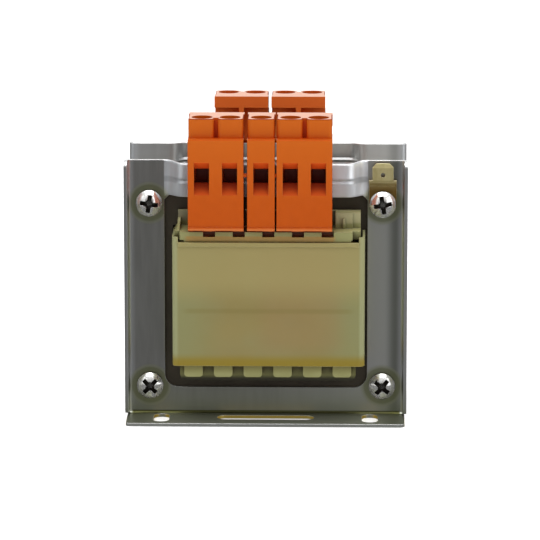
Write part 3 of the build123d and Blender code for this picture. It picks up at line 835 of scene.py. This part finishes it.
        # Faces of the stack: dark varnish and painted shade.
        face = nodes.mix(grain, tints.face_dark, tints.face_light)
        broadside = nodes.ramp(nodes.math("ABSOLUTE", nodes.facing().outputs["Y"]), 0.5, 0.8)
        nodes.link(nodes.mix(broadside, edge, face), shader.inputs["Base Color"])
        shader.inputs["Metallic"].default_value = 0.6
        shader.inputs["Roughness"].default_value = 0.42
        height = nodes.product(nodes.inverse(groove), nodes.inverse(broadside))
        self.edges(nodes, shader, height, 0.4, 0.05 * MM)

    def windings(self) -> None:
        """Make the turns of enamelled wire, one on the next along Z."""
        nodes, shader = self.start(Slot.COPPER)
        turn = nodes.product(nodes.position().outputs["Z"], 1.0 / WIRE)
        wave = nodes.math("PINGPONG", turn, 0.5)
        grain = self.grain(nodes, 200.0, (1.0, 1.0, 8.0))
        wire = nodes.mix(grain.outputs["Mask"], (0.42, 0.13, 0.05), (0.62, 0.22, 0.08))
        nodes.link(wire, shader.inputs["Base Color"])
        shader.inputs["Metallic"].default_value = 0.8
        shader.inputs["Roughness"].default_value = 0.3
        self.edges(nodes, shader, wave, 0.8, 0.1 * MM)

    def cover(self) -> None:
        """Make the translucent coil cover: warm middle, green sides, amber edge, one crease with
        painted shade, painted light on the top and side edges.
        """
        tints = CoverTints()
        nodes, shader = self.start(Slot.COVER)
        place = nodes.position()
        low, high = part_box("front_cover")
        up = place.outputs["Z"]
        across = nodes.math("SUBTRACT", place.outputs["X"], (low[0] + high[0]) / 2)
        off_middle = nodes.math("ABSOLUTE", across)
        grain = self.grain(nodes, 45.0, (1.0, 1.0, 1.6)).outputs["Mask"]
        body = nodes.mix(grain, tints.middle_dark, tints.middle_light)
        body = nodes.tint(nodes.ramp(off_middle, 11 * MM, 27 * MM), body, tints.sides)
        cloud = self.grain(nodes, 70.0, (0.8, 1.0, 1.0)).outputs["Mask"]
        body = nodes.tint(cloud, body, tints.cloud)
        warm = nodes.product(nodes.band(across, 2 * MM, 17 * MM, 8 * MM),
                             nodes.band(up, low[2] + 8 * MM, low[2] + 33 * MM, 6 * MM))
        body = nodes.tint(warm, body, tints.warm)
        # Painted light: paler toward the top.
        body = nodes.tint(nodes.ramp(up, low[2] + 17 * MM, low[2] + 27 * MM), body, tints.top)
        # Painted light through the thin side edges.
        body = nodes.tint(nodes.ramp(off_middle, 26.6 * MM, 27.6 * MM), body, tints.corner)
        amber = nodes.fall(up, low[2] + 1.2 * MM, low[2] + 4.2 * MM)
        body = nodes.tint(amber, body, tints.amber)
        off_crease = nodes.math("ABSOLUTE", nodes.math("SUBTRACT", up, low[2] + 16.8 * MM))
        crease = nodes.product(nodes.fall(off_crease, 0.3 * MM, 1.1 * MM),
                               nodes.fall(off_middle, 23 * MM, 26.5 * MM))
        # Painted shade in the crease.
        body = nodes.tint(crease, body, tints.crease)
        # Painted highlight along the edges.
        body = nodes.tint(self.edge_highlight(nodes, 0.3 * MM), body, tints.edge_highlight)
        nodes.link(body, shader.inputs["Base Color"])
        shader.inputs["Roughness"].default_value = 0.28
        shader.inputs["Specular IOR Level"].default_value = PLAIN_SPECULAR
        height = nodes.math("ADD", nodes.product(grain, 0.6), nodes.product(crease, -0.5))
        self.edges(nodes, shader, height, 0.15, 0.3 * MM)

    def build(self) -> None:
        """Make every finish."""
        for finish in METALS:
            self.metal(finish)
        for finish in PLASTICS:
            self.plastic(finish)
        self.laminations()
        self.windings()
        self.cover()
        log.info("built %d finishes", len(self.materials))

    def dress(self, parts: dict[str, bpy.types.Object]) -> None:
        """Put each node's finish in its material slots.

        Args:
            parts: The CAD objects by node name.
        """
        for name, part in parts.items():
            material = self.materials[self.slots[name]]
            for slot in part.material_slots:
                slot.material = material


class Plating:
    """Plating of the brackets, which varies from place to place, much of it by painted light and
    shade.

    Each step lays its tints over the colour so far, so their order counts.

    Args:
        finisher: Adds grain and worn edges to the material.
        nodes: Helper of the brackets' material.
        colour: The plain plating colour.
    """

    def __init__(self, finisher: Finisher, nodes: Nodes, colour: Socket) -> None:
        self.finisher = finisher
        self.nodes = nodes
        self.colour = colour
        self.tints = PlatingTints()
        place = nodes.position()
        self.side = place.outputs["X"]
        self.up = place.outputs["Z"]
        self.across = nodes.math("ABSOLUTE", self.side)
        self.out = nodes.math("ABSOLUTE", place.outputs["Y"])
        self.flat = nodes.math("ABSOLUTE", nodes.facing().outputs["Z"])
        self.upright = nodes.fall(self.flat, 0.3, 0.7)
        self.toward = finisher.toward(nodes)
        # Painted light: more of it falls toward +X.
        self.right_light = nodes.ramp(self.side, -15 * MM, 38 * MM)

    def tint(self, mask: Socket, tint: Tint) -> None:
        """Lay a tint over the colour so far."""
        self.colour = self.nodes.tint(mask, self.colour, tint)

    def broad_tones(self) -> None:
        """Painted light toward +X, a strip of painted shade and painted highlights on the bends
        beside the flanges, olive near the foot.
        """
        nodes, tints = self.nodes, self.tints
        self.tint(self.right_light, tints.right_side_light)
        self.tint(nodes.band(self.side, 38.8 * MM, 40.3 * MM, 3.2 * MM), tints.shaded_strip)
        self.tint(nodes.band(self.across, 40.6 * MM, 41.4 * MM, 1.6 * MM), tints.bend_highlight)
        self.tint(nodes.fall(self.up, 2 * MM, 15 * MM), tints.low)

    def paint_bar_and_inner_light(self) -> tuple[Socket, Socket]:
        """Paint light on the pressed bar and on the side toward the core, and paint shade in the
        bar's crease.

        Returns:
            Masks of the bar and of all that gets painted light.
        """
        nodes = self.nodes
        bar = nodes.product(nodes.band(self.across, -1.0 * MM, 30.4 * MM, 0.25 * MM),
                            nodes.ramp(self.up, CORE_Z + 30.0 * MM, CORE_Z + 30.3 * MM),
                            nodes.ramp(self.toward, -0.1, 0.1))
        streaks = self.finisher.grain(nodes, 260.0, (1.0, 1.0, 0.35)).outputs["Mask"]
        shade = nodes.math("ADD", nodes.product(nodes.inverse(self.right_light), 0.24),
                           nodes.product(streaks, 0.22))
        # Painted light on faces toward the core.
        inner = nodes.product(nodes.ramp(self.toward, -0.4, -0.8), 0.42)
        white = nodes.math("MAXIMUM", nodes.product(bar, nodes.inverse(shade)), inner)
        painted_light_colour = nodes.mix(self.right_light, self.tints.painted_light_left, self.tints.painted_light_right)
        painted_light_amount = nodes.product(white, self.tints.painted_light_weight)
        self.colour = nodes.mix(painted_light_amount, self.colour, painted_light_colour)
        # Painted shade in the bar's crease.
        crease = nodes.band(self.up, CORE_Z + 34.9 * MM, CORE_Z + 35.9 * MM, 0.7 * MM)
        self.tint(nodes.product(bar, crease), self.tints.crease)
        return bar, white

    def screw_rings(self) -> None:
        """Olive disc with a pressed ring round each core screw."""
        nodes = self.nodes
        side = nodes.math("SUBTRACT", self.across, BOLT_X)
        rise = nodes.math("ABSOLUTE", nodes.math("SUBTRACT", self.up, CORE_Z))
        level = nodes.math("SUBTRACT", rise, BOLT_Z)
        squares = nodes.math("ADD", nodes.product(side, side), nodes.product(level, level))
        distance = nodes.math("SQRT", squares)
        self.tint(nodes.fall(distance, 5.1 * MM, 6.9 * MM), self.tints.ring)
        self.tint(nodes.band(distance, 5.8 * MM, 6.1 * MM, 0.5 * MM), self.tints.pressed_ring)

    def foot(self) -> tuple[Socket, Socket]:
        """Dull the top of the foot, most at its ends, and its front edge.

        Returns:
            Masks of the foot's top and of its front edge.
        """
        nodes = self.nodes
        tread = nodes.product(nodes.ramp(self.flat, 0.15, 0.4),
                              nodes.band(self.up, 0.5 * MM, 1.1 * MM, 0.25 * MM),
                              nodes.ramp(self.out, PLATE_OUT, PLATE_OUT + 0.3 * MM))
        self.tint(tread, self.tints.tread)
        ends = nodes.ramp(self.across, 33.0 * MM, 38.5 * MM)
        self.tint(nodes.product(tread, ends), self.tints.tread_ends)
        rim = nodes.product(self.upright, nodes.fall(self.up, 1.05 * MM, 1.10 * MM),
                            nodes.ramp(self.out, SHELF_OUT - 0.3 * MM, SHELF_OUT))
        self.tint(rim, self.tints.rim)
        return tread, rim

    def fold(self) -> Socket:
        """Paint shade in the fold above the foot, and yellow the walls of the slots.

        Returns:
            Mask of the fold.
        """
        nodes = self.nodes
        fold = nodes.product(nodes.band(self.up, 1.25 * MM, 1.8 * MM, 0.3 * MM),
                             nodes.band(self.out, PLATE_OUT - 0.2 * MM, PLATE_OUT + 1.3 * MM,
                                        0.4 * MM),
                             nodes.fall(self.across, 40.2 * MM, 41.0 * MM))
        self.tint(fold, self.tints.fold)
        wall = nodes.product(self.upright,
                             nodes.band(self.up, -0.1 * MM, 1.05 * MM, 0.05 * MM),
                             nodes.band(self.out, PLATE_OUT + 1.5 * MM, PLATE_OUT + 11.5 * MM,
                                        0.5 * MM))
        self.tint(wall, self.tints.slot_wall)
        return fold

    def build(self, edge_radius: float) -> tuple[Socket, Socket, Socket]:
        """Lay every tint over the plain colour.

        Args:
            edge_radius: Rounding of the sheet's edges.

        Returns:
            The colour, the rounding, larger on the pressed bar, and the metallic value,
            lower where the plating gets painted light or is dull.
        """
        nodes = self.nodes
        self.broad_tones()
        bar, white = self.paint_bar_and_inner_light()
        self.screw_rings()
        tread, rim = self.foot()
        fold = self.fold()
        half_tread = nodes.product(tread, 0.5)
        shiny = nodes.inverse(nodes.math("MAXIMUM", fold, half_tread))
        # Painted highlight along outer edges, but not in the fold or on the foot's top.
        edge_highlight = self.finisher.edge_highlight(nodes, 0.38 * MM)
        self.tint(nodes.product(edge_highlight, shiny), self.tints.edge_highlight)
        dull = nodes.math("MAXIMUM", half_tread, nodes.product(rim, 0.4))
        metallic = nodes.math("SUBTRACT", nodes.inverse(nodes.product(white, 0.35)), dull)
        rounding = nodes.math("ADD", nodes.product(bar, 0.7 * MM), edge_radius)
        return self.colour, rounding, metallic


@dataclass(frozen=True)
class ThreadForm:
    """Size of a screw thread, and how many steps its mesh has in one turn."""

    radius: float
    pitch: float
    steps: int = 24

    @property
    def root(self) -> float:
        """Radius at the bottom of the thread."""
        return self.radius - self.depth

    @property
    def depth(self) -> float:
        """Height of the crest over the root."""
        return 0.45 * self.pitch

    def crest(self, index: int, total: int) -> float:
        """Radius of the crest at one step, which runs out at both ends.

        Args:
            index: The step.
            total: Number of the last step.

        Returns:
            The crest's radius.
        """
        run_out = self.steps / 3
        taper = min(1.0, index / run_out, (total - index) / run_out)
        return self.radius - self.depth * (1.0 - taper)


M4_THREAD = ThreadForm(radius=2.08 * MM, pitch=0.7 * MM)
M4_HEAD_RADIUS = 4.0 * MM


def thread(name: str, centre: Vector, form: ThreadForm, start: float, end: float,
           material: bpy.types.Material) -> bpy.types.Object:
    """Make a helical thread round an axis that runs along Y.

    Args:
        name: Name of the piece.
        centre: A point on the axis.
        form: Size of the thread.
        start: Lower Y of the thread.
        end: Upper Y of the thread.
        material: Its finish.

    Returns:
        The thread's object.
    """
    turns = (end - start) / form.pitch - 0.5
    total = int(turns * form.steps)
    mesh = bmesh.new()
    rows = []
    for index in range(total + 1):
        angle = 2 * math.pi * index / form.steps
        along = start + form.pitch * index / form.steps
        crest = form.crest(index, total)
        profile = ((form.root, 0.0), (crest, 0.42), (crest, 0.58), (form.root, 0.97))
        rows.append([mesh.verts.new(Vector((centre.x + reach * math.cos(angle),
                                            along + share * form.pitch * 0.5,
                                            centre.z + reach * math.sin(angle))))
                     for reach, share in profile])
    for first, second in zip(rows, rows[1:]):
        for index in range(3):
            mesh.faces.new((first[index], first[index + 1], second[index + 1], second[index]))
    bmesh.ops.recalc_face_normals(mesh, faces=mesh.faces)
    data = bpy.data.meshes.new(name)
    mesh.to_mesh(data)
    mesh.free()
    data.materials.append(material)
    piece = bpy.data.objects.new(name, data)
    bpy.context.collection.objects.link(piece)
    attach(piece, BODY)
    return piece


def add_screw_threads(material: bpy.types.Material) -> None:
    """Cut the look of an M4 thread on the rear ends of the core screws."""
    low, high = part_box("core_screws")
    _, nut_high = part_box("core_nuts")
    start = nut_high[1] - 0.3 * MM
    end = high[1] - 0.1 * MM
    for side, x in (("left", low[0] + M4_HEAD_RADIUS), ("right", high[0] - M4_HEAD_RADIUS)):
        for level, z in (("low", low[2] + M4_HEAD_RADIUS), ("high", high[2] - M4_HEAD_RADIUS)):
            thread(f"screw_thread_{side}_{level}", Vector((x, 0.0, z)), M4_THREAD, start, end,
                   material)


class Studio:
    """Floor, light and camera.

    Args:
        view: The camera's place.
    """

    FLOOR_RADIUS = 3.0
    FLOOR_GAP = 0.05 * MM

    def __init__(self, view: View) -> None:
        self.view = view

    def camera(self) -> None:
        """Place the camera at the photograph's angle."""
        data = bpy.data.cameras.new("camera")
        data.sensor_width = self.view.sensor_mm
        data.lens = self.view.lens_mm
        data.clip_start = 0.05
        data.clip_end = 20.0
        camera = bpy.data.objects.new("camera", data)
        azimuth = math.radians(self.view.azimuth)
        elevation = math.radians(self.view.elevation)
        back = Vector((math.sin(azimuth) * math.cos(elevation),
                       -math.cos(azimuth) * math.cos(elevation), math.sin(elevation)))
        camera.location = Vector(self.view.target) + back * self.view.distance
        camera.rotation_euler = (-back).to_track_quat("-Z", "Y").to_euler()
        bpy.context.collection.objects.link(camera)
        bpy.context.scene.camera = camera

    def floor(self) -> None:
        """Lay a plain white floor that keeps only the contact shadow."""
        mesh = bmesh.new()
        bmesh.ops.create_circle(mesh, cap_ends=True, segments=64, radius=self.FLOOR_RADIUS)
        data = bpy.data.meshes.new("floor")
        mesh.to_mesh(data)
        mesh.free()
        floor = bpy.data.objects.new("floor", data)
        floor.location.z = -self.FLOOR_GAP
        bpy.context.collection.objects.link(floor)
        data.materials.append(self.floor_material())

    def floor_material(self) -> bpy.types.Material:
        """White to the camera and to soft light, dim in the metal's reflections."""
        material = bpy.data.materials.new("floor")
        material.use_nodes = True
        nodes = Nodes(material.node_tree)
        white = nodes.add("BsdfDiffuse", Color=(0.92, 0.92, 0.92, 1.0))
        glow = nodes.add("Emission", Color=(1.0, 1.0, 1.0, 1.0), Strength=0.34)
        lit = nodes.add("AddShader")
        nodes.link(white.outputs[0], lit.inputs[0])
        nodes.link(glow.outputs[0], lit.inputs[1])
        dull = nodes.add("Emission", Color=(0.16, 0.16, 0.16, 1.0), Strength=1.0)
        path = nodes.add("LightPath")
        choice = nodes.add("MixShader")
        nodes.link(path.outputs["Is Glossy Ray"], choice.inputs[0])
        nodes.link(lit.outputs[0], choice.inputs[1])
        nodes.link(dull.outputs[0], choice.inputs[2])
        output = nodes.add("OutputMaterial")
        nodes.link(choice.outputs[0], output.inputs["Surface"])
        return material

    def world(self) -> None:
        """White backdrop, darker room in front and a bright ceiling for the metal to reflect."""
        world = bpy.data.worlds.new("studio")
        bpy.context.scene.world = world
        world.use_nodes = True
        nodes = Nodes(world.node_tree)
        coordinates = nodes.add("TexCoord")
        split = nodes.add("SeparateXYZ")
        nodes.link(coordinates.outputs["Generated"], split.inputs[0])
        behind = nodes.ramp(split.outputs["Y"], 0.10, 0.75)
        above = nodes.ramp(split.outputs["Z"], 0.22, 0.85)
        beside = nodes.ramp(split.outputs["X"], 0.30, 0.85)
        room = nodes.mix(behind, (0.15, 0.15, 0.15), WHITE)
        room = nodes.mix(above, room, (0.95, 0.95, 0.95))
        room = nodes.mix(beside, room, (0.60, 0.60, 0.60))
        path = nodes.add("LightPath")
        seen = nodes.mix(path.outputs["Is Glossy Ray"], (0.62, 0.62, 0.62), room)
        seen = nodes.mix(path.outputs["Is Camera Ray"], seen, WHITE)
        background = nodes.add("Background")
        nodes.link(seen, background.inputs["Color"])
        output = nodes.add("OutputWorld")
        nodes.link(background.outputs[0], output.inputs["Surface"])

    def lights(self) -> None:
        """Hang the soft boxes: one above, one low at each side."""
        for box in SOFT_BOXES:
            data = bpy.data.lights.new(box.name, "AREA")
            data.shape = "SQUARE"
            data.size = box.size
            data.energy = box.power
            light = bpy.data.objects.new(box.name, data)
            light.location = box.place
            direction = Vector(LIGHT_AIM) - Vector(box.place)
            light.rotation_euler = direction.to_track_quat("-Z", "Y").to_euler()
            bpy.context.collection.objects.link(light)

    def build(self) -> None:
        """Set up the whole studio."""
        bpy.context.scene.view_settings.view_transform = "Standard"
        self.camera()
        self.floor()
        self.world()
        self.lights()


def main() -> None:
    """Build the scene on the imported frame."""
    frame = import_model()
    finisher = Finisher(frame["record"])
    finisher.build()
    finisher.dress(frame["nodes"])
    add_screw_threads(finisher.materials[Slot.BRIGHT.value])
    Studio(View()).build()


if __name__ == "__main__":
    logging.basicConfig(level=logging.INFO, format="%(name)s: %(message)s")
    main()
